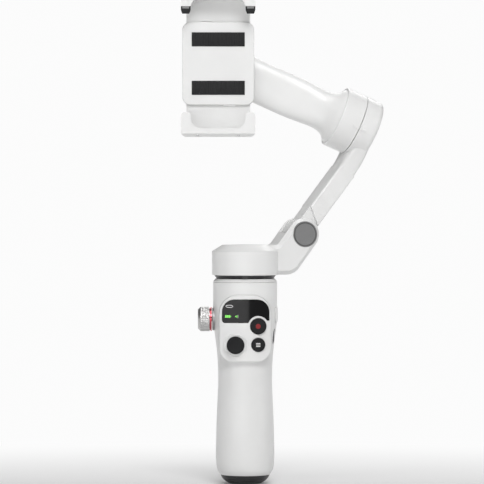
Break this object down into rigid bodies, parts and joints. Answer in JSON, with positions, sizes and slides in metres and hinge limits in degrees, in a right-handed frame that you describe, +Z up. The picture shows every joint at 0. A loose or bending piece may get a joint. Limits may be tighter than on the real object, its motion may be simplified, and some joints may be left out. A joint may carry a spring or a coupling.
{
  "type": "gimbal stabilizer",
  "caption": "Handheld phone gimbal with a grip, pan motor, folding arm, tilt and roll motors and a sprung phone clamp.",
  "frame": {"origin": "centre of the base's underside, at the mouth of the tripod thread on the pan axis", "axes": "+Z up along the handle, +X to the user's right towards the folding arm, +Y away from the user"},
  "size_m": [0.1302, 0.0698, 0.3154],
  "materials": {
    "white_shell": "fine satin moulded",
    "soft_rubber": "matte ribbed",
    "black_button": "soft matte",
    "black_plastic": "satin",
    "display_glass": "gloss",
    "circuit_board": "solder mask",
    "grey_metal": "fine blasted",
    "wheel_silver": "knurled anodised",
    "red_anodised": "bright anodised",
    "battery_wrap": "wrapped",
    "brass_insert": "machined",
    "steel": "ground",
    "motor_iron": "laminated"
  },
  "bodies": {
    "handle": {"handle_front_shell": "white_shell", "handle_rear_shell": "white_shell", "control_panel": "white_shell", "display_window": "display_glass", "main_circuit_board": "circuit_board", "button_switches": "black_plastic", "joystick_case": "black_plastic", "wheel_bush": "grey_metal", "wheel_encoder": "black_plastic", "usb_c_socket": "steel", "trigger_pin": "steel", "trigger_spring": "steel", "trigger_switch_board": "black_plastic", "battery_cell": "battery_wrap", "battery_cradle": "black_plastic", "base_cap": "black_plastic", "tripod_insert": "brass_insert", "handle_top_cap": "white_shell", "pan_motor_base": "black_plastic", "pan_motor_screws": "steel", "pan_stator": "motor_iron", "pan_bearings": "steel"},
    "record_button": {"record_button": "black_button"},
    "mode_button": {"mode_button": "black_button"},
    "power_key": {"power_key": "white_shell"},
    "joystick_yoke": {"joystick_yoke": "black_plastic"},
    "joystick_stick": {"joystick_stem": "steel", "joystick_cap": "black_button"},
    "focus_wheel": {"focus_wheel": "wheel_silver", "wheel_accent_ring": "red_anodised"},
    "trigger": {"trigger": "white_shell"},
    "pan_body": {"pan_arm": "white_shell", "pan_top_cover": "white_shell", "pan_magnet_ring": "steel", "pan_shaft": "steel", "fold_hinge_pin": "steel", "hinge_front_cap": "grey_metal", "hinge_rear_cap": "grey_metal"},
    "upper_arm": {"upper_arm": "white_shell", "tilt_end_cover": "white_shell", "tilt_stator": "motor_iron", "tilt_bearings": "steel"},
    "tilt_body": {"tilt_arm": "white_shell", "tilt_magnet_ring": "steel", "tilt_shaft": "steel", "roll_back_cover": "white_shell", "roll_stator": "motor_iron", "roll_bearings": "steel"},
    "clamp_body": {"roll_rotor_hub": "black_plastic", "roll_magnet_ring": "steel", "clamp_back_housing": "white_shell", "clamp_front_cover": "white_shell", "clamp_pads": "soft_rubber", "lower_jaw_spring": "steel", "upper_jaw_spring": "steel"},
    "jaw_pinion": {"jaw_pinion": "black_plastic"},
    "upper_jaw": {"upper_jaw": "white_shell", "upper_jaw_pads": "soft_rubber"},
    "lower_jaw": {"lower_jaw": "white_shell", "lower_jaw_pads": "soft_rubber"}
  },
  "joints": [
    {"name": "pan_spin", "type": "hinge", "parent": "handle", "child": "pan_body", "pos_m": [0, 0, 0.14], "axis": [0, 0, 1], "range_deg": [-160, 170]},
    {"name": "fold_hinge", "type": "hinge", "parent": "pan_body", "child": "upper_arm", "pos_m": [0.03521, 0.01212, 0.1592], "axis": [0.3256, -0.9455, 0], "range_deg": [0, 70]},
    {"name": "tilt_spin", "type": "hinge", "parent": "upper_arm", "child": "tilt_body", "pos_m": [0.0705, 0.0243, 0.2298], "axis": [0.8979, 0.184, -0.3999], "range_deg": [-105, 120]},
    {"name": "roll_spin", "type": "hinge", "parent": "tilt_body", "child": "clamp_body", "pos_m": [-0.0172, 0.0215, 0.2685], "axis": [0, 1, 0], "range_deg": [-120, 210]},
    {"name": "upper_jaw_slide", "type": "slide", "parent": "clamp_body", "child": "upper_jaw", "axis": [0, 0, 1], "range_m": [-0.008, 0.007], "deforming": ["upper_jaw_spring"]},
    {"name": "lower_jaw_slide", "type": "slide", "parent": "clamp_body", "child": "lower_jaw", "axis": [0, 0, -1], "range_m": [-0.008, 0.007], "deforming": ["lower_jaw_spring"]},
    {"name": "jaw_pinion_spin", "type": "hinge", "parent": "clamp_body", "child": "jaw_pinion", "pos_m": [-0.0172, 0.006, 0.2685], "axis": [0, 1, 0], "range_deg": [-125, 125]},
    {"name": "record_press", "type": "slide", "parent": "handle", "child": "record_button", "axis": [0, 1, 0], "range_m": [0, 0.0006], "stiffness_N_per_m": 900},
    {"name": "mode_press", "type": "slide", "parent": "handle", "child": "mode_button", "axis": [0, 1, 0], "range_m": [0, 0.0006], "stiffness_N_per_m": 900},
    {"name": "power_press", "type": "slide", "parent": "handle", "child": "power_key", "axis": [-0.9703, 0.2419, 0], "range_m": [0, 0.0005], "stiffness_N_per_m": 900},
    {"name": "joystick_up_down", "type": "hinge", "parent": "handle", "child": "joystick_yoke", "pos_m": [-0.0061, -0.0145, 0.0892], "axis": [1, 0, 0], "range_deg": [-8.5, 8.5], "stiffness_Nm_per_rad": 0.05},
    {"name": "joystick_left_right", "type": "hinge", "parent": "joystick_yoke", "child": "joystick_stick", "pos_m": [-0.0061, -0.0145, 0.0892], "axis": [0, 0, 1], "range_deg": [-8.5, 8.5], "stiffness_Nm_per_rad": 0.05},
    {"name": "focus_wheel_spin", "type": "hinge", "parent": "handle", "child": "focus_wheel", "pos_m": [-0.026, 0, 0.105], "axis": [1, 0, 0], "continuous": true},
    {"name": "trigger_pull", "type": "hinge", "parent": "handle", "child": "trigger", "pos_m": [0, 0.0155, 0.113], "axis": [-1, 0, 0], "range_deg": [0, 10], "stiffness_Nm_per_rad": 0.08}
  ],
  "couplings": [
    {"joint": "lower_jaw_slide", "follows": "upper_jaw_slide", "ratio": 1},
    {"joint": "jaw_pinion_spin", "follows": "upper_jaw_slide", "rad_per_m": -250}
  ]
}
